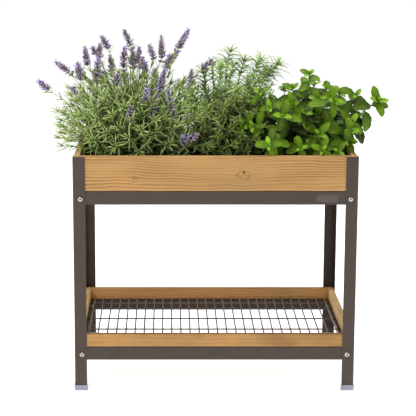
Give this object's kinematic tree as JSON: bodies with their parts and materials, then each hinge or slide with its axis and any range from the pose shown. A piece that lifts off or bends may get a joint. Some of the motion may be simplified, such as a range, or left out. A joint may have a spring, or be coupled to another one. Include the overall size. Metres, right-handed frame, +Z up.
{
  "type": "raised planter on legs",
  "caption": "Softwood trough with herbs on a dark steel angle frame, with a wire mesh shelf in a low wooden tray near the floor.",
  "frame": {"origin": "on the floor, under the middle of the planter with its plants", "axes": "+X to the right, +Y to the back, +Z up; the front with the badge faces -Y"},
  "size_m": [0.9912, 0.5712, 0.9628],
  "materials": {
    "powder_coat": "fine satin powder coat, dark brown-grey",
    "trough_wood": "oiled softwood, planed, honey brown with orange grain",
    "tray_wood": "oiled softwood, planed",
    "slat_wood": "sawn softwood",
    "foot_plastic": "translucent grey moulded plastic",
    "zinc": "bright zinc plate",
    "wire": "taupe coated wire",
    "liner": "black plastic",
    "compost": "dark moist compost",
    "lavender": "grey-green leaves with purple flower spikes",
    "rosemary": "needle leaves, green above and pale below",
    "mint": "fresh green toothed leaves",
    "badge": "plain printed plate, no mark"
  },
  "bodies": {
    "frame": {"badge": "badge", "floor_slat_1": "slat_wood", "floor_slat_2": "slat_wood", "floor_slat_3": "slat_wood", "floor_slat_4": "slat_wood", "floor_slat_5": "slat_wood", "floor_slat_6": "slat_wood", "foot_back_left": "foot_plastic", "foot_back_right": "foot_plastic", "foot_front_left": "foot_plastic", "foot_front_right": "foot_plastic", "leg_back_left": "powder_coat", "leg_back_right": "powder_coat", "leg_front_left": "powder_coat", "leg_front_right": "powder_coat", "tray_board_back": "tray_wood", "tray_board_front": "tray_wood", "tray_board_left": "tray_wood", "tray_board_right": "tray_wood", "tray_bolt_back_left": "zinc", "tray_bolt_back_right": "zinc", "tray_bolt_front_left": "zinc", "tray_bolt_front_right": "zinc", "tray_nut_back_left": "zinc", "tray_nut_back_right": "zinc", "tray_nut_front_left": "zinc", "tray_nut_front_right": "zinc", "tray_rail_back": "powder_coat", "tray_rail_front": "powder_coat", "tray_rail_left": "powder_coat", "tray_rail_right": "powder_coat", "trough_board_back": "trough_wood", "trough_board_front": "trough_wood", "trough_board_left": "trough_wood", "trough_board_right": "trough_wood", "trough_bolt_back_left": "zinc", "trough_bolt_back_right": "zinc", "trough_bolt_front_left": "zinc", "trough_bolt_front_right": "zinc", "trough_nut_back_left": "zinc", "trough_nut_back_right": "zinc", "trough_nut_front_left": "zinc", "trough_nut_front_right": "zinc", "trough_rail_back": "powder_coat", "trough_rail_front": "powder_coat", "trough_rail_left": "powder_coat", "trough_rail_right": "powder_coat"},
    "shelf": {"mesh_shelf": "wire"},
    "planting": {"liner_tray": "liner", "soil": "compost", "lavender": "lavender", "rosemary": "rosemary", "mint": "mint"}
  },
  "joints": [
    {"name": "shelf_lift", "type": "slide", "parent": "frame", "child": "shelf", "axis": [0, 0, 1], "range_m": [0, 0.38]},
    {"name": "liner_lift", "type": "slide", "parent": "frame", "child": "planting", "axis": [0, 0, 1], "range_m": [0, 0.12]}
  ]
}
